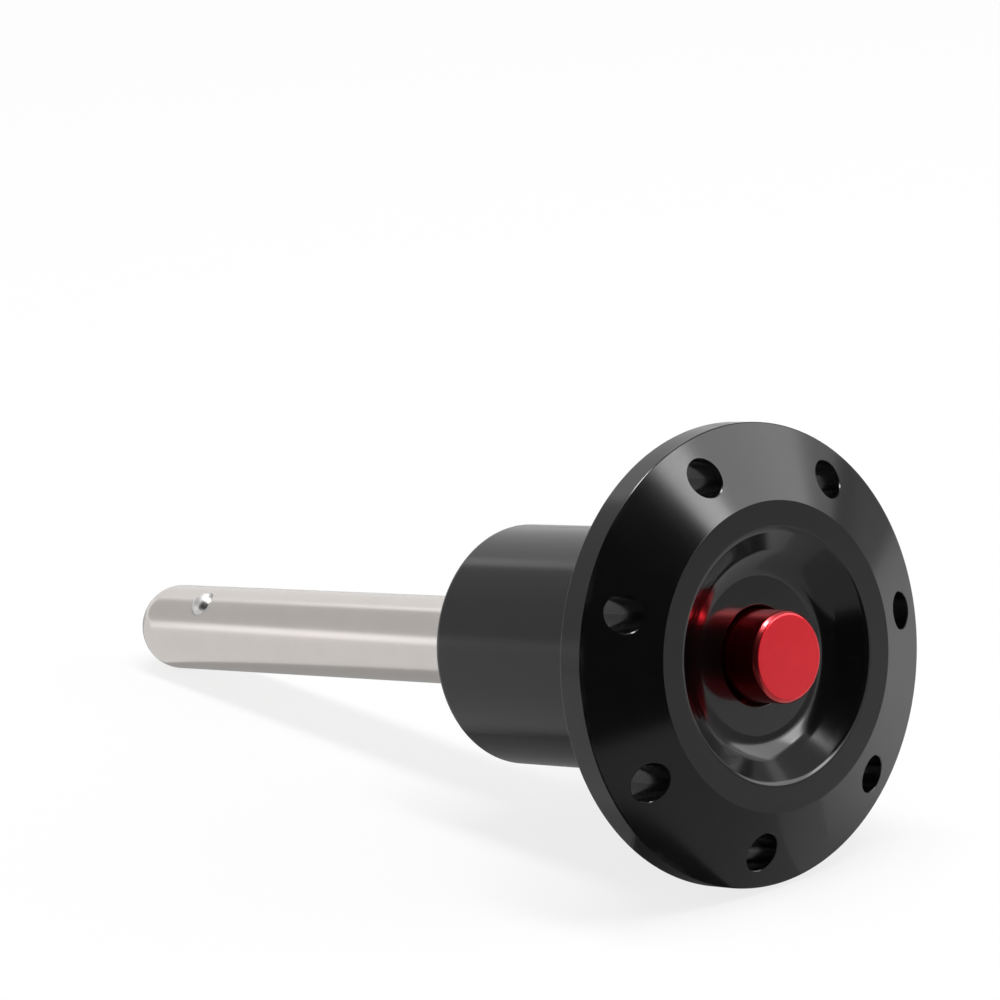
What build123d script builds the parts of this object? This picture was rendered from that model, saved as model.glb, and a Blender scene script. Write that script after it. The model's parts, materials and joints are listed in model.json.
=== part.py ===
from build123d import *
from math import acos, atan, atan2, cos, degrees, hypot, pi, radians, sin, tan
import os

os.makedirs("parts", exist_ok=True)

# A quick release pin with a flanged push-button handle and two locking balls.
# Every piece is drawn about the pin's own axis, which runs along +Z from the flat
# front ring of the handle, at Z 0, to the tip of the shank. One placement at the
# end lays the whole pin down as it comes to rest. Lengths are in millimetres.

# Handle, turned in one piece.
flange_diameter = 50.0
cone_width = 8.3
cone_depth = 3.8
rim_width = 3.1
bevel_depth = 1.4
bevel_width = 1.85
rear_slope = radians(20)
flare_length = 7.5
flare_fullness = 0.82
body_diameter = 26.8
handle_length = 40.8
handle_end_chamfer = 0.6
ring_width = 2.9
dish_depth = 3.6
dish_floor_diameter = 18.0
dish_lip_break = 0.4

# Holes through the flange, clearance for an M4 screw or a lanyard ring.
hole_count = 7
hole_diameter = 4.5
hole_inset = 4.0
hole_edge_break = 0.2

# Inside the handle.
floor_thickness = 2.8
chamber_diameter = 16.0
collar_recess = 3.0

# Shank, turned and ground in one piece with its collar and spigot.
shank_diameter = 10.0
pin_length = 107.2
nose_round = 4.5
collar_diameter = 18.4
collar_proud = 0.4
collar_chamfer = 0.5
spigot_length = 14.0
root_relief_width = 0.7
root_relief_depth = 0.4
spindle_bore = 4.9

# Button and spindle.
button_diameter = 10.0
button_proud = 1.15
button_bevel = 0.55
button_travel = 3.5
shoulder_diameter = 15.4
shoulder_thickness = 2.45
hub_diameter = 8.8
tail_diameter = 4.0
tail_inset = 1.8
land_diameter = 4.68
land_length = 2.4
groove_diameter = 2.64
groove_length = 1.6
spindle_chamfer = 0.2

# Return spring.
wire_diameter = 1.1
wire_sides = 8
spring_coils = 6
spring_diameter = 12.4
runs_per_coil = 12

# Locking balls.
ball_diameter = 3.5
ball_setback = 13.0
ball_proud = 0.8
ball_retreat = 0.85

# Fits, each one a gap on the radius or along the axis.
button_gap = 0.4
bore_mouth_break = 0.2
shoulder_gap = 0.05
stop_gap = 0.05
collar_gap = 0.25
seat_gap = 0.02
tail_end_gap = 0.5
flare_gap = 0.1
ball_gap = 0.03
pocket_gap = 0.05
spindle_end_gap = 0.8

# How the pin lies: the upper ball is turned this far from straight up.
roll_angle = -40.0

# Diameters and stations along the axis that follow from the sizes above.
ring_diameter = flange_diameter - 2 * cone_width
dish_diameter = ring_diameter - 2 * ring_width
hole_circle = flange_diameter - 2 * hole_inset
flare_diameter = hole_circle - hole_diameter - 2 * flare_gap
rim_start = cone_depth
rim_end = rim_start + rim_width
bevel_end = rim_end + bevel_depth
bore_radius = button_diameter / 2 + button_gap
chamber_start = dish_depth + floor_thickness
recess_start = handle_length - collar_recess
collar_face = handle_length + collar_proud
spigot_end = recess_start - spigot_length
shoulder_start = chamber_start + shoulder_gap
shoulder_end = shoulder_start + shoulder_thickness
hub_end = spigot_end - button_travel - stop_gap
tail_start = shoulder_start + tail_inset
ball_station = pin_length - ball_setback


def disc(diameter, start, end):
    """A solid cylinder about the axis between two stations."""
    return Pos(0, 0, (start + end) / 2) * Cylinder(diameter / 2, end - start)


def taper(start_diameter, end_diameter, start, end):
    """A solid cone about the axis between two stations."""
    return Pos(0, 0, (start + end) / 2) * Cone(start_diameter / 2, end_diameter / 2, end - start)


def rim_edge(solid, radius, station):
    """The round edge of the given radius at the given station."""
    circles = solid.edges().filter_by(GeomType.CIRCLE)
    return circles.sort_by(lambda e: abs(e.radius - radius) + abs(e.arc_center.Z - station))[0]


# Handle: one half of its outline, turned about the axis. The flare leaves the rear
# cone and meets the body without a crease, because its middle point is where they cross.
rim_radius = flange_diameter / 2
rear_radius = rim_radius - bevel_width
body_radius = body_diameter / 2
flare_start = bevel_end + tan(rear_slope) * (rear_radius - flare_diameter / 2)
crossing = bevel_end + tan(rear_slope) * (rear_radius - body_radius)
flare_end = flare_start + flare_length
flange_outline = Polyline(
    (0, 0),
    (ring_diameter / 2, 0),
    (rim_radius, rim_start),
    (rim_radius, rim_end),
    (rear_radius, bevel_end),
    (flare_diameter / 2, flare_start),
)
flare = Bezier(
    (flare_diameter / 2, flare_start),
    (body_radius, crossing),
    (body_radius, flare_end),
    weights=[1, flare_fullness, 1],
)
body_outline = Polyline((body_radius, flare_end), (body_radius, handle_length), (0, handle_length), (0, 0))
half_section = Plane.XZ * make_face([*flange_outline.edges(), flare, *body_outline.edges()])
handle = revolve(half_section, Axis.Z)
handle = chamfer(rim_edge(handle, body_radius, handle_length), handle_end_chamfer)

# The dish has a flat floor, and its wall leaves that floor in one round up to the lip.
dish_radius = dish_diameter / 2
floor_radius = dish_floor_diameter / 2
dish_wall = TangentArc((floor_radius, dish_depth), (dish_radius, 0), tangent=(1, 0))
dish_outline = Polyline((dish_radius, 0), (0, 0), (0, dish_depth), (floor_radius, dish_depth))
dish_section = Plane.XZ * make_face([*dish_outline.edges(), dish_wall])
handle -= revolve(dish_section, Axis.Z)
handle = chamfer(rim_edge(handle, dish_radius, 0), dish_lip_break)
handle -= disc(2 * bore_radius, 0, chamber_start)
handle = chamfer(rim_edge(handle, bore_radius, dish_depth), bore_mouth_break)
handle -= disc(chamber_diameter, chamber_start, recess_start)
handle -= disc(collar_diameter + 2 * collar_gap, recess_start, handle_length)

# Flange holes: one of them lies straight across from the upper ball.
hole_angle = 360 / hole_count
holes = PolarLocations(hole_circle / 2, hole_count, start_angle=180)
drill = Pos(0, 0, bevel_end / 2) * Cylinder(hole_diameter / 2, 2 * bevel_end)
handle -= [place * drill for place in holes]
mouths = handle.faces().filter_by(GeomType.CONE).sort_by(Axis.Z)[0].inner_wires().edges()
handle = chamfer([e for e in mouths if e.length < 2 * hole_diameter * pi], hole_edge_break)

# Shank: spigot and collar hold it in the handle, the nose is rounded.
shank = disc(shank_diameter, recess_start, pin_length)
shank = fillet(rim_edge(shank, shank_diameter / 2, pin_length), nose_round)
shank += disc(chamber_diameter - 2 * seat_gap, spigot_end, recess_start)
collar = disc(collar_diameter, recess_start, collar_face)
collar = chamfer(rim_edge(collar, collar_diameter / 2, collar_face), collar_chamfer)
relief_diameter = shank_diameter + 2 * root_relief_width
relief_start = collar_face - root_relief_depth
collar -= disc(relief_diameter, relief_start, collar_face) - disc(shank_diameter, relief_start, collar_face)
shank += collar

# Locking balls: a pocket each, with a spun lip that keeps the ball in.
ball_radius = ball_diameter / 2
ball_out = shank_diameter / 2 + ball_proud - ball_radius
pocket_radius = ball_radius + pocket_gap
pocket = Pos(ball_out / 2, 0, ball_station) * Rot(0, 90, 0) * Cylinder(pocket_radius, ball_out)
pocket += Pos(ball_out, 0, ball_station) * Sphere(ball_radius + ball_gap)
both_sides = PolarLocations(0, 2)
ball = Pos(ball_out, 0, ball_station) * Sphere(ball_radius)
upper_ball, lower_ball = [place * ball for place in both_sides]

# Spindle: its ramp lets both balls in at a steady rate as the button goes down.
ramp_slope = ball_retreat / button_travel
ramp_at_ball = ball_out - (ball_radius + ball_gap) / cos(atan(ramp_slope))
ramp_end = ball_station + (land_diameter / 2 - ramp_at_ball) / ramp_slope
ramp_start = ball_station - (ramp_at_ball - groove_diameter / 2) / ramp_slope
groove_start = ramp_start - groove_length
stem_end = groove_start - (land_diameter - groove_diameter) / 2
spindle_end = ramp_end + land_length
spindle = disc(tail_diameter - 2 * seat_gap, tail_start, hub_end)
spindle += disc(land_diameter, hub_end, stem_end)
spindle += taper(land_diameter, groove_diameter, stem_end, groove_start)
spindle += disc(groove_diameter, groove_start, ramp_start)
spindle += taper(groove_diameter, land_diameter, ramp_start, ramp_end)
spindle += disc(land_diameter, ramp_end, spindle_end)
spindle = chamfer(rim_edge(spindle, land_diameter / 2, spindle_end), spindle_chamfer)

bore_end = spindle_end + button_travel + spindle_end_gap
shank -= disc(spindle_bore, spigot_end, bore_end)
shank -= [place * pocket for place in both_sides]

# Button: the shoulder bears under the dish floor, the hub takes the spindle's tail.
button = disc(button_diameter, -button_proud, shoulder_start)
button = chamfer(rim_edge(button, button_diameter / 2, -button_proud), button_bevel)
button += disc(shoulder_diameter, shoulder_start, shoulder_end)
button += disc(hub_diameter, shoulder_end, hub_end)
button -= disc(tail_diameter, tail_start - tail_end_gap, hub_end)

# Return spring: a wound wire, bent in short straight runs, with both ends ground flat.
spring_length = spigot_end - shoulder_end
pitch = spring_length / (spring_coils - 1)
coil_points = []
for run in range(spring_coils * runs_per_coil + 1):
    turned = 2 * pi * run / runs_per_coil
    climbed = shoulder_end - pitch / 2 + pitch * run / runs_per_coil
    coil_points.append((spring_diameter / 2 * cos(turned), spring_diameter / 2 * sin(turned), climbed))
coil = Polyline(*coil_points)
wire = Plane(coil @ 0, z_dir=coil % 0) * RegularPolygon(wire_diameter / 2, wire_sides)
spring = sweep(wire, path=coil, transition=Transition.RIGHT)
spring &= disc(chamber_diameter, shoulder_end, spigot_end)

# Lying down: the pin rests on the rear corner of its rim and on the round of its nose.
# The ground is the line from that corner that touches the nose's circle from outside.
nose_centre = shank_diameter / 2 - nose_round
nose_station = pin_length - nose_round
span = nose_station - rim_end
drop = rim_radius - nose_centre
dip = acos(nose_round / hypot(span, drop)) - atan2(span, drop)
up_axis = (0, sin(dip), cos(dip))
pin_axis = (0, cos(dip), -sin(dip))
height = rim_end * sin(dip) + rim_radius * cos(dip)
rear = ring_diameter / 2 * sin(dip)
reach = nose_station * cos(dip) + nose_centre * sin(dip) + nose_round
rest = Plane((0, -(reach - rear) / 2, height), x_dir=up_axis, z_dir=pin_axis).location
lay_down = rest * Rot(0, 0, roll_angle)

pieces = {
    "handle": handle,
    "shank": shank,
    "button": button,
    "spindle": spindle,
    "return_spring": spring,
    "locking_ball_upper": upper_ball,
    "locking_ball_lower": lower_ball,
}
for name, piece in pieces.items():
    export_step(lay_down * piece, f"parts/{name}.step")
    print(name, round(piece.volume, 2), "mm3, solids", len(piece.solids()))
print("dip", round(degrees(dip), 3), "degrees, height of the ring centre", round(height, 4))
print("ramp", round(ramp_start, 3), round(ramp_end, 3), "bore end", round(bore_end, 3))
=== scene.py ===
# %% [markdown]
# # A quick release pin
#
# This lesson dresses a ball-lock pin: a black anodised handle, a red push button in a
# dish, a ground steel shank and two small locking balls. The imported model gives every
# place and size, and Blender gives the fine forms and the finishes. Nearly every piece
# of the real pin comes off a lathe, so the lesson builds a small lathe of its own.

# %% Load the frame
from math import ceil, cos, pi, radians, sin, tan

import bmesh
import bpy
from mathutils import Matrix, Vector
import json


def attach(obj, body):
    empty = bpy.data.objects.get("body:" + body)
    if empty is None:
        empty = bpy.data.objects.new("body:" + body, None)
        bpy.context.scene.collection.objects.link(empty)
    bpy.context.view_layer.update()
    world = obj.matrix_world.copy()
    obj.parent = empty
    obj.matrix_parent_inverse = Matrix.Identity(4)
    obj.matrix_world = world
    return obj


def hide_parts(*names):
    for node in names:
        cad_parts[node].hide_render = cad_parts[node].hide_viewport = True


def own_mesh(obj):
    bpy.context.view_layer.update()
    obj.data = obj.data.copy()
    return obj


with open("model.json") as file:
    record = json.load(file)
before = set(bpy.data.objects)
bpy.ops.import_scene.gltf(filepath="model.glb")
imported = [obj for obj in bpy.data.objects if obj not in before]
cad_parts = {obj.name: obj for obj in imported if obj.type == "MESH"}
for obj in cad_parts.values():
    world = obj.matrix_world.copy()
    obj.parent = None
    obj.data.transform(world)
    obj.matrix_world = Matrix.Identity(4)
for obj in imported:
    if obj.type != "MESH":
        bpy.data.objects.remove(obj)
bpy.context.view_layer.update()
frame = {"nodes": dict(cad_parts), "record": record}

print("nodes", sorted(frame["nodes"]))

# %% [markdown]
# ## The pin's own axis
#
# The pin lies on the rim of its flange and on its nose, so its axis is tilted. It is far
# easier to draw a turned piece about its own axis, in millimetres, and to lay it down at
# the end. The shank's mount in the record holds the axis and one point on it, so nothing
# has to be fitted by eye. In the pin's frame +Z runs from the button to the tip, Z 0 is
# the flat ring around the dish, and +X points at the upper ball.

# %% The way from the pin's frame to the model's
MM = 0.001
shoulder_station = 41.2
roll = radians(-40)
mount = next(m for m in frame["record"]["mounts"] if m["name"] == "shank")
pin_axis = Vector(mount["axis"]).normalized()
sideways = Vector((1, 0, 0))
upright = sideways.cross(pin_axis)
ring_centre = Vector(mount["pos_m"]) - shoulder_station * MM * pin_axis
lie = Matrix((upright, sideways, pin_axis)).transposed().to_4x4()
pin_place = Matrix.Translation(ring_centre) @ lie @ Matrix.Rotation(roll, 4, "Z")
print("ring centre in mm", [round(c / MM, 3) for c in ring_centre])

# %% [markdown]
# ## A lathe
#
# A turned piece is one outline swept round an axis. The outline is a list of corners, each
# with a radius, a station along the axis and a rounding. A real edge is never quite sharp,
# and it is the thin line of light on a rounded edge that makes metal look like metal. Each
# rounding is laid in as an arc. A guard point on either side of the arc holds the long flat
# faces flat, because smooth shading would otherwise bend the light across all of them.

# %% Outlines with rounded corners
ARC_STEP = radians(6)
GUARD = 0.05


def rounded(corners):
    """The points of an outline, from corners of (radius, station, rounding)."""
    points = []
    for index, (radius, station, rounding) in enumerate(corners):
        corner = Vector((radius, station))
        if not rounding:
            points.append(corner)
            continue
        back = (Vector(corners[index - 1][:2]) - corner).normalized()
        ahead = (Vector(corners[(index + 1) % len(corners)][:2]) - corner).normalized()
        half = back.angle(ahead) / 2
        turn = pi - 2 * half
        centre = corner + (back + ahead).normalized() * (rounding / sin(half))
        first = corner + back * (rounding / tan(half)) - centre
        last = corner + ahead * (rounding / tan(half)) - centre
        steps = max(2, ceil(turn / ARC_STEP))
        points.append(centre + first + back * GUARD)
        for step in range(steps + 1):
            share = step / steps
            points.append(centre + (first * sin((1 - share) * turn) + last * sin(share * turn)) / sin(turn))
        points.append(centre + last + ahead * GUARD)
    return points


# %% The lathe
AROUND = 192


def turned(name, points, closed=False, around=AROUND):
    """Sweeps an outline round +Z. A closed outline makes a ring, an open one starts and ends on the axis."""
    work = bmesh.new()
    rings = []
    for radius, station in points:
        count = around if radius > 1e-6 else 1
        rings.append([
            work.verts.new((radius * cos(2 * pi * k / around), radius * sin(2 * pi * k / around), station))
            for k in range(count)
        ])
    following = rings[1:] + rings[:1] if closed else rings[1:]
    for low, high in zip(rings, following):
        for k in range(around):
            corners = [low[k % len(low)], low[(k + 1) % len(low)], high[(k + 1) % len(high)], high[k % len(high)]]
            work.faces.new(dict.fromkeys(corners))
    bmesh.ops.recalc_face_normals(work, faces=work.faces)
    mesh = bpy.data.meshes.new(name)
    work.to_mesh(mesh)
    work.free()
    piece = bpy.data.objects.new(name, mesh)
    bpy.context.scene.collection.objects.link(piece)
    return piece


# %% Laying a finished piece down
SHARP = radians(25)


def lay_down(piece, body, slot, *nodes):
    """Moves a piece's mesh to its place on the model, smooths it and lets it stand for its CAD nodes."""
    piece.data.transform(pin_place @ Matrix.Scale(MM, 4))
    piece.data.shade_smooth()
    piece.data.set_sharp_from_angle(angle=SHARP)
    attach(piece, body)
    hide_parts(*nodes)
    print(piece.name, len(piece.data.polygons), "faces on", body)


# %% [markdown]
# ## Node trees written as sums
#
# Materials and Geometry Nodes are both trees of nodes. Written out node by node they are
# hard to read, so one small class wraps a socket. Python's operators on it add Math nodes,
# and one method adds any other node: first its settings, then what goes into its sockets.

# %% One class for sockets
class Socket:
    """A socket in a node tree. Operators on it add Math nodes to that tree."""

    def __init__(self, tree, source=None):
        self.tree = tree
        self.source = source

    def node(self, kind, settings=None, sockets=None, out=0):
        """Adds a node of this kind and returns one of its outputs."""
        node = self.tree.nodes.new(kind)
        for name, value in (settings or {}).items():
            if name == "stops":
                for stop, (place, shade) in zip([*node.color_ramp.elements, *[None] * len(value)], value):
                    stop = stop or node.color_ramp.elements.new(place)
                    stop.position = place
                    stop.color = (shade, shade, shade, 1)
            else:
                setattr(node, name, value)
        for name, value in (sockets or {}).items():
            if isinstance(value, Socket):
                self.tree.links.new(value.source, node.inputs[name])
            else:
                node.inputs[name].default_value = value
        return Socket(self.tree, node.outputs[out]) if node.outputs else None

    def also(self, out):
        """Another output of the node that this socket is on."""
        return Socket(self.tree, self.source.node.outputs[out])

    def maths(self, operation, first, second=0.0):
        return self.node("ShaderNodeMath", {"operation": operation}, {0: first, 1: second})

    def __add__(self, other):
        return self.maths("ADD", self, other)

    __radd__ = __add__

    def __sub__(self, other):
        return self.maths("SUBTRACT", self, other)

    def __rsub__(self, other):
        return self.maths("SUBTRACT", other, self)

    def __mul__(self, other):
        return self.maths("MULTIPLY", self, other)

    __rmul__ = __mul__

    def __truediv__(self, other):
        return self.maths("DIVIDE", self, other)

    def __lt__(self, other):
        return self.maths("LESS_THAN", self, other)

    def __gt__(self, other):
        return self.maths("GREATER_THAN", self, other)

    def __abs__(self):
        return self.maths("ABSOLUTE", self)


def mix(factor, first, second):
    """A colour between two others, by a factor socket."""
    sockets = {0: factor, 6: first, 7: second}
    return factor.node("ShaderNodeMix", {"data_type": "RGBA"}, sockets, out=2)


# %% [markdown]
# ## Finishes
#
# Every finish here is what a tool left behind. A lathe leaves fine rings around the axis,
# on flat faces, cones and cylinders alike. Noise in one dimension, read along the outline,
# is the same all the way round, so it draws such rings on any turned face. It needs the
# distance from the pin's axis and the station along it, and a Mapping node turns Object
# coordinates into the pin's frame to give both, in millimetres.

# %% Radius and station as sockets
def along_pin(tree):
    """Where a point of a surface is in the pin's frame: its radius and its station, in mm."""
    back = pin_place.inverted()
    here = tree.node("ShaderNodeTexCoord", out="Object")
    turn = {"Vector": here, "Location": back.translation / MM, "Rotation": back.to_euler(), "Scale": [1 / MM] * 3}
    local = tree.node("ShaderNodeMapping", {}, turn)
    parts = tree.node("ShaderNodeSeparateXYZ", {}, {0: local})
    across = tree.node("ShaderNodeCombineXYZ", {}, {0: parts, 1: parts.also(1)})
    radius = tree.node("ShaderNodeVectorMath", {"operation": "LENGTH"}, {0: across}, out="Value")
    return local, radius, parts.also(2)


def lathe_rings(tree, radius, station, per_mm):
    """Noise that changes only along the outline, so that it makes rings; from 0 to 1."""
    sockets = {"W": radius * 1.13 + station, "Scale": per_mm, "Detail": 3.0, "Roughness": 0.6}
    return tree.node("ShaderNodeTexNoise", {"noise_dimensions": "1D"}, sockets)


def cloud(tree, place, per_mm, detail=3.0):
    """Soft noise in space, for wear and stains; from 0 to 1."""
    return tree.node("ShaderNodeTexNoise", {}, {"Vector": place, "Scale": per_mm, "Detail": detail})


def near(value, target, width):
    """1 where a value is at a target, falling to 0 at a distance of width."""
    return value.maths("MAXIMUM", 1 - abs(value - target) / width, 0.0)


def ramp(value, *stops):
    """A value put through a ramp of (place, level) stops."""
    return value.node("ShaderNodeValToRGB", {"stops": stops}, {0: value})


# %% Starting and ending a finish
def new_finish(name):
    material = bpy.data.materials.new(name)
    material.use_nodes = True
    material.node_tree.nodes.clear()
    return material, Socket(material.node_tree)


def close_finish(tree, height, depth, **sockets):
    """Ends a finish in a Principled shader, with a bump of this depth in metres."""
    bumped = tree.node("ShaderNodeBump", {}, {"Height": height, "Distance": depth, "Strength": 1.0})
    named = {name.replace("_", " "): value for name, value in sockets.items()}
    shader = tree.node("ShaderNodeBsdfPrincipled", {}, {**named, "Normal": bumped})
    tree.node("ShaderNodeOutputMaterial", {}, {"Surface": shader})


# %% Sizes that the finishes and the pieces share
flange_radius = 25.0
ring_radius = 16.7
cone_depth = 3.8
rim_end = 6.9
rear_radius = 23.15
bevel_end = 8.3
dish_radius = 13.8
dish_depth = 3.0
body_radius = 13.4
handle_end = 40.8
shank_radius = 5.0
pin_end = 107.185
hole_circle = 21.0
hole_radius = 2.05
hole_count = 7
button_radius = 5.0
button_face = -1.7
button_bevel = 0.4
bore_radius = 5.4
ball_station = 94.2

# %% [markdown]
# ### Black anodised aluminium
#
# Anodising grows a hard black layer that is a little glossy. The lathe's rings show through
# it. The dish was polished before it was dyed, so it reflects most clearly, the flat ring
# least. Handling rubs the outer edges of the rim first, so they are a touch paler there.

# %% The black finish
def black_anodised():
    material, tree = new_finish("black_anodised")
    place, radius, station = along_pin(tree)
    rings = lathe_rings(tree, radius, station, 9.0)
    blotches = cloud(tree, place, 0.35)
    in_dish = (radius < dish_radius) * (station < dish_depth + 0.4)
    on_ring = (radius > dish_radius) * (radius < ring_radius) * (station < 0.02)
    in_bore = (radius < bore_radius + 0.1) * (station > dish_depth)
    rim_edges = near(station, cone_depth, 0.3) + near(station, rim_end, 0.3)
    rubbed = rim_edges * (radius > flange_radius - 0.5) * ramp(blotches, (0.45, 0), (0.7, 1))
    shade = mix(blotches, (0.0016, 0.0015, 0.0019, 1), (0.0028, 0.0026, 0.0029, 1))
    colour = mix(rubbed * 0.4, shade, (0.03, 0.029, 0.028, 1))
    roughness = 0.12 + rings * 0.05 + on_ring * 0.06 - in_dish * 0.03 + in_bore * 0.5 + blotches * 0.03
    close_finish(tree, rings * (1 - in_dish), 0.5e-6, Base_Color=colour, Roughness=roughness, IOR=1.58)
    return material


# %% [markdown]
# ### Ground steel
#
# The shank is ground to size on a fine wheel, which leaves very fine rings. They are too
# fine to see one by one and only soften what the steel reflects.

# %% The steel finishes
def steel(name, dark, light, polish, ring_depth, per_mm=7.0):
    """Bare steel with the rings that its tool left: polish is its lowest roughness."""
    material, tree = new_finish(name)
    place, radius, station = along_pin(tree)
    rings = lathe_rings(tree, radius, station, per_mm)
    blotches = cloud(tree, place, 0.25)
    tone = ramp(rings * 0.6 + blotches * 0.4, (0.3, 0), (0.7, 1))
    colour = mix(tone, dark, light)
    roughness = polish + rings * 0.08 + blotches * 0.05
    close_finish(tree, rings, ring_depth, Base_Color=colour, Roughness=roughness, Metallic=1.0)
    return material


# %% [markdown]
# ### Red anodised aluminium
#
# Red dye in the clear anodised layer lets the metal shine through it, so the button is a
# metal with a red colour and not a red paint. A paler, pinkish band on the rounded edge of
# the face is a painted highlight.

# %% The red finish
def red_anodised():
    material, tree = new_finish("red_anodised")
    place, radius, station = along_pin(tree)
    rings = lathe_rings(tree, radius, station, 10.0)
    blotches = cloud(tree, place, 0.5)
    # The edge mask paints a highlight: a paler, pinkish red on the rounded edge of the face.
    edge = near(radius, button_radius - 0.15, 0.3) * (station < button_face + 0.5)
    shade = mix(blotches, (0.83, 0.018, 0.031, 1), (0.88, 0.023, 0.038, 1))
    colour = mix(edge * 0.5, shade, (0.75, 0.16, 0.16, 1))
    on_face = station < button_face + 0.02
    roughness = 0.22 + on_face * 0.13 + rings * 0.06
    coat = {"Coat_Weight": 0.6 * (station < button_face + button_bevel), "Coat_Roughness": 0.12}
    close_finish(tree, rings, 0.5e-6, Base_Color=colour, Roughness=roughness, Metallic=1.0, **coat)
    return material


# %% All the finishes
finishes = {
    "black": black_anodised(),
    "shank": steel("ground_steel", (0.74, 0.695, 0.66, 1), (0.80, 0.755, 0.72, 1), 0.15, 0.3e-6),
    "red": red_anodised(),
    "spindle": steel("spindle_steel", (0.44, 0.44, 0.43, 1), (0.54, 0.54, 0.53, 1), 0.3, 1.0e-6, 4.0),
    "spring": steel("spring_steel", (0.36, 0.36, 0.37, 1), (0.5, 0.5, 0.5, 1), 0.28, 0.4e-6, 5.0),
    "ball": steel("ball_steel", (0.70, 0.69, 0.68, 1), (0.78, 0.77, 0.76, 1), 0.26, 0.05e-6, 5.0),
}
print("finishes", sorted(finishes))

# %% [markdown]
# ## The handle
#
# The handle is one turning: dish, ring, cone, rim, bevel, a rear cone that flares into the
# body, the recess for the collar and the bore for the button. The dish has a flat floor,
# a wall that leaves it in a wide round, and a soft lip. What the dish mirrors tells this:
# the floor shows the button's side as a straight band, the round bends that band up, the
# wall draws streaks that point at the button, and the lip is a thin line of light.

# %% The handle's outline
chamber_start = 6.4
chamber_radius = 8.0
recess_radius = 9.45
recess_start = 37.8
rear_slope = tan(radians(20))
flare_rounding = 7.93
crossing = bevel_end + rear_slope * (rear_radius - body_radius)

floor_radius = 8.6
lip_radius = 14.0
lip_round = 1.0
wall_slope = radians(40.5)
wall_across = dish_depth / tan(wall_slope)
wall_round = (lip_radius - floor_radius - wall_across) / tan(wall_slope / 2) - lip_round
wall_foot = floor_radius + wall_round * tan(wall_slope / 2)
print("round at the foot of the dish's wall in mm", round(wall_round, 2))

handle_outline = rounded([
    (ring_radius, 0, 0.15),
    (flange_radius, cone_depth, 0.2),
    (flange_radius, rim_end, 0.2),
    (rear_radius, bevel_end, 0.3),
    (body_radius, crossing, flare_rounding),
    (body_radius, handle_end, 0.9),
    (recess_radius, handle_end, 0.15),
    (recess_radius, recess_start, 0),
    (chamber_radius, recess_start, 0),
    (chamber_radius, chamber_start, 0),
    (bore_radius, chamber_start, 0),
    (bore_radius, dish_depth, 0.18),
    (wall_foot, dish_depth, wall_round),
    (wall_foot + wall_across, 0, lip_round),
])
handle = turned("handle_turned", handle_outline, closed=True, around=320)
print("outline points", len(handle_outline))

# %% [markdown]
# ### Seven holes with broken edges
#
# The holes are all alike and evenly spaced, which is work for Geometry Nodes. One drill is
# a tube of four rings of points. Its end rings are wider, so they cut the small bevel at
# each mouth. The flange is a cone on both sides, so the bevels would be uneven on a
# straight drill. Each ring is therefore moved along the axis until it follows the cone.

# %% A tree that drills the flange
def drilling_tree():
    tree = bpy.data.node_groups.new("drill_flange", "GeometryNodeTree")
    tree.interface.new_socket(name="Geometry", in_out="OUTPUT", socket_type="NodeSocketGeometry")
    tree.interface.new_socket(name="Geometry", in_out="INPUT", socket_type="NodeSocketGeometry")
    tree.interface.new_socket(name="Holes", in_out="INPUT", socket_type="NodeSocketInt")
    for name in ("Circle", "Radius", "Edge break", "Ring radius", "Cone slope", "Rear radius", "Rear station", "Rear slope"):
        tree.interface.new_socket(name=name, in_out="INPUT", socket_type="NodeSocketFloat")
    tree.interface.new_socket(name="Finish", in_out="INPUT", socket_type="NodeSocketMaterial")
    start = Socket(tree).node("NodeGroupInput", out="Geometry")
    radius, edge = start.also("Radius"), start.also("Edge break")

    tube = {"Vertices": 56, "Side Segments": 3, "Radius": radius, "Depth": 2.0}
    drill = start.node("GeometryNodeMeshCylinder", {"fill_type": "NGON"}, tube)
    parts = start.node("ShaderNodeSeparateXYZ", {}, {0: start.node("GeometryNodeInputPosition")})
    outer = abs(parts.also(2)) > 0.9
    widen = 1 + outer * 3 * edge / radius
    wide = start.node("ShaderNodeCombineXYZ", {}, {0: parts * widen, 1: parts.also(1) * widen, 2: parts.also(2)})
    drill = start.node("GeometryNodeSetPosition", {}, {"Geometry": drill, "Position": wide})

    circle = start.node("GeometryNodeMeshCircle", {}, {"Vertices": start.also("Holes"), "Radius": start.also("Circle")})
    circle = start.node("GeometryNodeTransform", {}, {"Geometry": circle, "Rotation": (0, 0, pi)})
    drills = start.node("GeometryNodeInstanceOnPoints", {}, {"Points": circle, "Instance": drill})
    drills = start.node("GeometryNodeRealizeInstances", {}, {"Geometry": drills})

    parts = start.node("ShaderNodeSeparateXYZ", {}, {0: start.node("GeometryNodeInputPosition")})
    level = parts.also(2)
    across = start.node("ShaderNodeCombineXYZ", {}, {0: parts, 1: parts.also(1)})
    reach = start.node("ShaderNodeVectorMath", {"operation": "LENGTH"}, {0: across}, out="Value")
    front = (reach - start.also("Ring radius")) * start.also("Cone slope")
    rear = start.also("Rear station") + (start.also("Rear radius") - reach) * start.also("Rear slope")
    behind = level > 0
    outer = abs(level) > 0.9
    station = front + behind * (rear - front) + (2 * behind - 1) * (3 * outer - 1) * edge
    lined = start.node("ShaderNodeCombineXYZ", {}, {0: parts, 1: parts.also(1), 2: station})
    drills = start.node("GeometryNodeSetPosition", {}, {"Geometry": drills, "Position": lined})

    cut = {"Mesh 1": start, "Mesh 2": drills}
    cut = start.node("GeometryNodeMeshBoolean", {"operation": "DIFFERENCE", "solver": "EXACT"}, cut)
    cut = start.node("GeometryNodeRealizeInstances", {}, {"Geometry": cut})
    cut = start.node("GeometryNodeSetMaterial", {}, {"Geometry": cut, "Material": start.also("Finish")})
    start.node("NodeGroupOutput", {}, {"Geometry": cut})
    return tree


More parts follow.
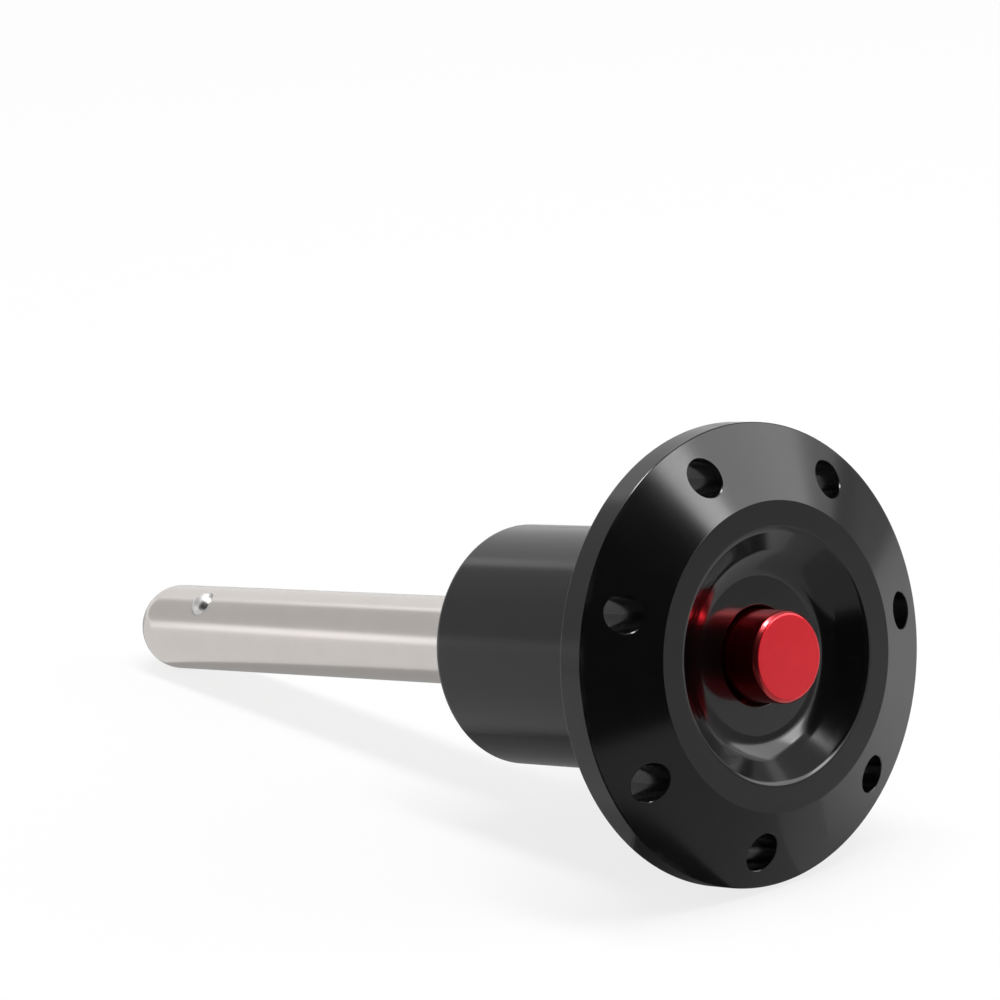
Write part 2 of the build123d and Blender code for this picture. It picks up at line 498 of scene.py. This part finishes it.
# %% Running a tree on a piece
def run_tree(piece, tree, values):
    """Puts a piece through a tree with these named inputs, and keeps the result as its mesh."""
    modifier = piece.modifiers.new(tree.name, "NODES")
    modifier.node_group = tree
    for item in tree.interface.items_tree:
        if item.in_out == "INPUT" and item.name in values:
            modifier[item.identifier] = values[item.name]
    piece.update_tag()
    depsgraph = bpy.context.evaluated_depsgraph_get()
    mesh = bpy.data.meshes.new_from_object(piece.evaluated_get(depsgraph))
    piece.modifiers.remove(modifier)
    piece.data = mesh
    return piece


run_tree(handle, drilling_tree(), {
    "Holes": hole_count,
    "Circle": hole_circle,
    "Radius": hole_radius,
    "Edge break": 0.09,
    "Ring radius": ring_radius,
    "Cone slope": cone_depth / (flange_radius - ring_radius),
    "Rear radius": rear_radius,
    "Rear station": bevel_end,
    "Rear slope": rear_slope,
    "Finish": finishes["black"],
})
lay_down(handle, "housing", "black_anodised", "handle")

# %% [markdown]
# ## The shank
#
# Collar, spigot and shank are one piece of steel. A small relief is cut around the root, so
# that a plate can lie flat on the collar, and the nose is rounded to find its hole. The
# bore for the spindle ends short of the nose.

# %% The shank's outline
nose_rounding = 4.5
collar_radius = 9.2
relief_radius = 5.7
relief_floor = 40.8
spigot_radius = 7.98
spigot_start = 23.8
spindle_bore = 2.45
bore_floor = 101.4

shank_outline = rounded([
    (0, pin_end, 0),
    (shank_radius, pin_end, nose_rounding),
    (shank_radius, relief_floor, 0),
    (relief_radius, relief_floor, 0),
    (relief_radius, shoulder_station, 0.08),
    (collar_radius - 0.5, shoulder_station, 0.1),
    (collar_radius, shoulder_station - 0.5, 0.1),
    (collar_radius, recess_start, 0),
    (spigot_radius, recess_start, 0),
    (spigot_radius, spigot_start, 0.2),
    (spindle_bore, spigot_start, 0.1),
    (spindle_bore, bore_floor, 0),
    (0, bore_floor, 0),
])
shank = turned("shank_ground", shank_outline)

# %% [markdown]
# ### Pockets for the balls
#
# Each ball sits in a pocket drilled in from the bore. The pocket ends in a round seat whose
# lip is spun over the ball, so the ball looks out of a hole smaller than itself. The cutter
# is turned on the same lathe, about +Z, and then tipped so that its axis points outwards.

# %% Cutting the pockets
ball_radius = 1.75
ball_out = 4.05
seat_radius = 1.78
pocket_radius = 1.8
seat_steps = 20


def tipped(angle):
    """Turns a piece that stands on +Z to point outwards at the balls' station."""
    return Matrix.Translation((0, 0, ball_station)) @ Matrix.Rotation(angle, 4, "Z") @ Matrix.Rotation(pi / 2, 4, "Y")


def half_ball(radius, centre, first_angle):
    """Points on a ball's outline, from first_angle below its top to the top."""
    angles = [first_angle * (1 - step / seat_steps) for step in range(seat_steps + 1)]
    return [Vector((radius * sin(a), centre + radius * cos(a))) for a in angles]


for angle in (0, pi):
    pocket_outline = [Vector((0, 0.5)), Vector((pocket_radius, 0.5)), Vector((pocket_radius, ball_out))]
    cutter = turned("pocket_cutter", pocket_outline + half_ball(seat_radius, ball_out, pi / 2), around=48)
    cutter.data.transform(tipped(angle))
    boolean = shank.modifiers.new("pocket", "BOOLEAN")
    boolean.object = cutter
    boolean.operation = "DIFFERENCE"
    boolean.solver = "EXACT"
    depsgraph = bpy.context.evaluated_depsgraph_get()
    shank.data = bpy.data.meshes.new_from_object(shank.evaluated_get(depsgraph))
    shank.modifiers.clear()
    bpy.data.objects.remove(cutter)
shank.data.materials.clear()
shank.data.materials.append(finishes["shank"])
lay_down(shank, "housing", "ground_steel", "shank")

# %% The balls
for name, angle in (("upper", 0), ("lower", pi)):
    ball = turned(f"ball_{name}", half_ball(ball_radius, ball_out, pi), around=64)
    ball.data.transform(tipped(angle))
    ball.data.materials.append(finishes["ball"])
    lay_down(ball, f"ball_{name}", "ball_steel", f"locking_ball_{name}")

# %% [markdown]
# ## The button and the spindle
#
# The button's head comes through the handle, and its shoulder stops it from behind. The
# spindle's tail is pressed into its hub. Both are plain turnings, so the lathe makes them
# as it made the shank.

# %% The button
button = turned("button_turned", rounded([
    (0, button_face, 0),
    (button_radius - button_bevel, button_face, 0.45),
    (button_radius, button_face + button_bevel, 0.45),
    (button_radius, 6.45, 0),
    (7.7, 6.45, 0.1),
    (7.7, 8.9, 0.1),
    (4.4, 8.9, 0),
    (4.4, 20.25, 0.2),
    (2.0, 20.25, 0.1),
    (2.0, 7.75, 0),
    (0, 7.75, 0),
]), around=128)
button.data.materials.append(finishes["red"])
lay_down(button, "plunger", "red_anodised", "button")

# %% The spindle
spindle = turned("spindle_turned", rounded([
    (0, 8.25, 0),
    (1.98, 8.25, 0.2),
    (1.98, 20.25, 0),
    (2.34, 20.25, 0.1),
    (2.34, 87.88, 0.3),
    (1.32, 88.9, 0.3),
    (1.32, 90.5, 0.3),
    (2.34, 94.7, 0.3),
    (2.34, 97.1, 0.2),
    (0, 97.1, 0),
]), around=64)
spindle.data.materials.append(finishes["spindle"])
lay_down(spindle, "plunger", "spindle_steel", "spindle")

# %% [markdown]
# ## The return spring
#
# A spring is a wire that follows a rule, so Geometry Nodes wind it: a spiral gives the line
# and a circle gives the wire. Its ends are ground flat, and a slab that keeps only what is
# between the two seats does the same here.

# %% A tree that winds a spring
def winding_tree():
    tree = bpy.data.node_groups.new("wind_spring", "GeometryNodeTree")
    tree.interface.new_socket(name="Geometry", in_out="OUTPUT", socket_type="NodeSocketGeometry")
    tree.interface.new_socket(name="Geometry", in_out="INPUT", socket_type="NodeSocketGeometry")
    for name in ("Coils", "Radius", "Wire radius", "Pitch", "Start", "Length"):
        tree.interface.new_socket(name=name, in_out="INPUT", socket_type="NodeSocketFloat")
    tree.interface.new_socket(name="Finish", in_out="INPUT", socket_type="NodeSocketMaterial")
    start = Socket(tree).node("NodeGroupInput", out="Geometry")
    coils, radius, pitch = start.also("Coils"), start.also("Radius"), start.also("Pitch")
    spiral = {"Resolution": 48, "Rotations": coils, "Start Radius": radius, "End Radius": radius, "Height": coils * pitch}
    line = start.node("GeometryNodeCurveSpiral", {}, spiral)
    wire = start.node("GeometryNodeCurvePrimitiveCircle", {}, {"Resolution": 16, "Radius": start.also("Wire radius")}, out="Curve")
    coil = start.node("GeometryNodeCurveToMesh", {}, {"Curve": line, "Profile Curve": wire, "Fill Caps": True})
    lift = start.node("ShaderNodeCombineXYZ", {}, {2: start.also("Start") - pitch / 2})
    coil = start.node("GeometryNodeTransform", {}, {"Geometry": coil, "Translation": lift})
    slab = {"Vertices": 64, "Radius": radius * 1.3, "Depth": start.also("Length")}
    slab = start.node("GeometryNodeMeshCylinder", {"fill_type": "NGON"}, slab)
    middle = start.node("ShaderNodeCombineXYZ", {}, {2: start.also("Start") + start.also("Length") / 2})
    slab = start.node("GeometryNodeTransform", {}, {"Geometry": slab, "Translation": middle})
    both = start.node("GeometryNodeMeshBoolean", {"operation": "INTERSECT", "solver": "EXACT"}, {"Mesh 2": coil})
    tree.links.new(slab.source, both.source.node.inputs["Mesh 2"])
    ground = start.node("GeometryNodeRealizeInstances", {}, {"Geometry": both})
    ground = start.node("GeometryNodeSetMaterial", {}, {"Geometry": ground, "Material": start.also("Finish")})
    start.node("NodeGroupOutput", {}, {"Geometry": ground})
    return tree


# %% The spring
spring_start = 8.9
spring_length = spigot_start - spring_start
spring = bpy.data.objects.new("return_spring_wound", bpy.data.meshes.new("return_spring_wound"))
bpy.context.scene.collection.objects.link(spring)
run_tree(spring, winding_tree(), {
    "Coils": 6.0,
    "Radius": 6.2,
    "Wire radius": 0.55,
    "Pitch": spring_length / 5,
    "Start": spring_start,
    "Length": spring_length,
    "Finish": finishes["spring"],
})
lay_down(spring, "housing", "spring_steel", "return_spring")
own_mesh(spring)

# %% [markdown]
# ## The studio
#
# The pin was photographed on plain white with soft light. Black metal has hardly any
# colour of its own, so what it mirrors is what one sees: a soft box up and to the right,
# the white floor, and the dark room behind the camera.

# %% The camera
view_elevation = radians(16.784)
view_heading = radians(42.35)
ring_right, ring_down, ring_ahead = 29.613, 16.680, 595.861
look = Vector((sin(view_heading) * cos(view_elevation), cos(view_heading) * cos(view_elevation), -sin(view_elevation)))
right = Vector((cos(view_heading), -sin(view_heading), 0))
above = right.cross(look)
camera = bpy.data.objects.new("camera", bpy.data.cameras.new("camera"))
bpy.context.scene.collection.objects.link(camera)
camera.data.lens = 201.3
camera.data.sensor_width = 36.0
camera.data.clip_start = 0.01
eye = ring_centre - (ring_right * right - ring_down * above + ring_ahead * look) * MM
camera.matrix_world = Matrix.Translation(eye) @ Matrix((right, above, -look)).transposed().to_4x4()
bpy.context.scene.camera = camera
print("camera at", [round(c, 4) for c in eye])

# %% [markdown]
# ### White paper
#
# The photograph's background is pure white. To the camera most of the floor is therefore
# plain white, and a fifth of it is lit paper, which keeps the pin's shadow. The metal
# mirrors a pale grey floor, as it does in the photograph.

# %% The floor and the world
def white_floor():
    material, tree = new_finish("white_floor")
    grain = tree.node("ShaderNodeTexNoise", {}, {"Scale": 40.0, "Detail": 2.0})
    seen = tree.node("ShaderNodeLightPath", out="Is Camera Ray")
    grey = mix(grain, (0.66, 0.66, 0.66, 1), (0.70, 0.70, 0.70, 1))
    paper = tree.node("ShaderNodeBsdfDiffuse", {}, {"Color": mix(seen, grey, (0.95, 0.95, 0.95, 1))})
    white = tree.node("ShaderNodeEmission", {}, {"Color": (1, 1, 1, 1), "Strength": 1.0})
    both = tree.node("ShaderNodeMixShader", {}, {0: seen * 0.8, 1: paper, 2: white})
    tree.node("ShaderNodeOutputMaterial", {}, {"Surface": both})
    return material


floor_size = 4.0
floor = bpy.data.objects.new("floor", bpy.data.meshes.new("floor"))
half = floor_size / 2
corners = [(-half, -half, 0), (half, -half, 0), (half, half, 0), (-half, half, 0)]
floor.data.from_pydata(corners, [], [(0, 1, 2, 3)])
floor.data.materials.append(white_floor())
bpy.context.scene.collection.objects.link(floor)

AMBIENT = 0.35
world = bpy.data.worlds.new("studio")
bpy.context.scene.world = world
world.use_nodes = True
world.node_tree.nodes.clear()
tree = Socket(world.node_tree)
ray = tree.node("ShaderNodeLightPath", out="Is Camera Ray")
mirrored = ray.maths("MAXIMUM", ray.also("Is Glossy Ray"), ray.also("Is Transmission Ray"))
seen = ray.maths("MAXIMUM", ray, mirrored)
sky = tree.node("ShaderNodeBackground", {}, {"Color": (1, 1, 1, 1), "Strength": AMBIENT + seen * (1 - AMBIENT)})
tree.node("ShaderNodeOutputWorld", {}, {"Surface": sky})

# %% [markdown]
# ### Lamps and cards
#
# A strip over the pin is the key, and a big soft box stands at the front right. They light
# the pin and its floor. The cards around the pin are painted reflections: they glow by
# themselves, black, grey and bright, light nothing and are seen only by the metal. Their
# edges draw the bright and dark fields on the cone, in the dish and along the shank, as the
# walls of the real room did.

# %% Directions around the pin
MIDDLE = Vector((0, 0, 0.025))


def towards(heading, elevation):
    """A direction from the pin: heading is turned from +Y towards +X, both in degrees."""
    heading, elevation = radians(heading), radians(elevation)
    return Vector((sin(heading) * cos(elevation), cos(heading) * cos(elevation), sin(elevation)))


# %% The lamps
def soft_box(name, heading, elevation, distance, size, radiance, turn=0.0):
    """A rectangular lamp that faces the pin, turned about its own axis by this many degrees."""
    lamp = bpy.data.lights.new(name, "AREA")
    lamp.shape = "RECTANGLE"
    lamp.size, lamp.size_y = size
    lamp.energy = pi * size[0] * size[1] * radiance
    holder = bpy.data.objects.new(name, lamp)
    direction = towards(heading, elevation)
    holder.location = MIDDLE + direction * distance
    facing = direction.to_track_quat("Z", "Y").to_matrix() @ Matrix.Rotation(radians(turn), 3, "Z")
    holder.rotation_euler = facing.to_euler()
    bpy.context.scene.collection.objects.link(holder)


soft_box("key_strip", 170, 85, 1.4, (0.26, 1.2), 15.0)
soft_box("right_box", 129, 28, 1.2, (0.84, 0.58), 1.6)


# %% The cards
def painted_reflection_card(name, points, faces, level):
    """A self-lit card of this brightness that only shiny surfaces see: a painted reflection."""
    piece = bpy.data.objects.new(name, bpy.data.meshes.new(name))
    piece.data.from_pydata(points, [], faces)
    material, tree = new_finish(name)
    weave = tree.node("ShaderNodeTexNoise", {}, {"Scale": 60.0})
    glow = tree.node("ShaderNodeEmission", {}, {"Strength": level * (0.95 + weave * 0.1)})
    tree.node("ShaderNodeOutputMaterial", {}, {"Surface": glow})
    piece.data.materials.append(material)
    piece.visible_camera = False
    piece.visible_shadow = False
    piece.visible_diffuse = False
    bpy.context.scene.collection.objects.link(piece)


def card(name, headings, elevations, level, distance):
    """A bent self-lit card around the pin, a painted reflection of this brightness, between two headings and two
    elevations.
    """
    steps = 24
    first, last = headings
    feet = [towards(first + (last - first) * k / steps, 0) * distance for k in range(steps + 1)]
    lifts = [max(0.0, MIDDLE.z + distance * tan(radians(elevation))) for elevation in elevations]
    points = [foot + Vector((0, 0, lift)) for foot in feet for lift in lifts]
    faces = [(2 * k, 2 * k + 1, 2 * k + 3, 2 * k + 2) for k in range(steps)]
    painted_reflection_card(name, points, faces, level)


# Painted reflections of the room: black cards behind the camera, grey walls, and bright cards that glow like lamps but
# light nothing.
card("dark_end", (161, 195), (-90, 57), 0.03, 0.2)
card("dark_room", (195, 300), (-90, 72), 0.02, 0.2)
card("right_wall", (50, 97), (-90, 68), 0.33, 1.0)
card("low_wall", (97, 153), (-90, 13), 0.3, 1.3)
card("high_wall", (97, 153), (43, 70), 0.5, 1.3)
card("bright_edge", (141, 153), (18, 42), 6.6, 1.0)
card("window", (27, 48), (30, 58), 3.0, 0.9)
card("back_wall", (-60, 2), (2, 45), 0.52, 1.0)
card("far_strip", (-60, -25), (-90, 2), 0.75, 0.28)
card("back_light", (2, 50), (2, 30), 0.8, 1.0)
card("back_strip", (2, 9), (27, 30.5), 1.5, 0.98)


def painted_floor_shade(name, headings, reach, level):
    """A fan of self-lit card on the floor in front of the dish, between two headings: painted floor shade, seen only in
    reflections.
    """
    steps = 24
    first, last = headings
    middle = Vector((0, -0.04, 0.0003))
    rim = [middle + towards(first + (last - first) * k / steps, 0) * reach for k in range(steps + 1)]
    painted_reflection_card(name, [middle, *rim], [(0, k + 1, k + 2) for k in range(steps)], level)


# Painted floor shade in front of the dish, darkest to the left of the flange.
painted_floor_shade("side_floor_shade", (140, 165), 0.5, 0.5)
painted_floor_shade("front_floor_shade", (165, 205), 0.5, 0.36)
painted_floor_shade("left_floor_shadow", (205, 262), 0.3, 0.06)

# Painted floor shade under the body and the shank, and a lighter patch beside the shank, all seen only in reflections.
for name, level, outline in (
    ("shank_floor", 0.72, [(-0.008, 0.0), (-0.012, 0.0), (-0.07, 0.062), (-0.07, 0.14), (0.001, 0.09), (-0.002, 0.06)]),
    ("under_shank", 0.37, [(-0.008, 0.0), (-0.002, 0.06), (0.001, 0.09), (0.05, 0.09), (0.05, 0.0)]),
    ("under_body", 0.25, [(-0.012, -0.038), (-0.012, 0.0), (0.03, 0.0), (0.03, -0.038)]),
):
    painted_reflection_card(name, [Vector((x, y, 0.0003)) for x, y in outline], [tuple(range(len(outline)))], level)
# A bright self-lit board beside the shank: a painted reflection.
board = [Vector((-0.07, along, lift)) for along in (0.062, 0.14) for lift in (0.0, 0.019)]
painted_reflection_card("shank_board", board, [(0, 1, 3, 2)], 1.2)
bpy.context.scene.view_settings.view_transform = "Standard"

# %% [markdown]
# ## Sizes, and the end
#
# The dressed pin has to stay inside the CAD model's box.

# %% Import json
import json
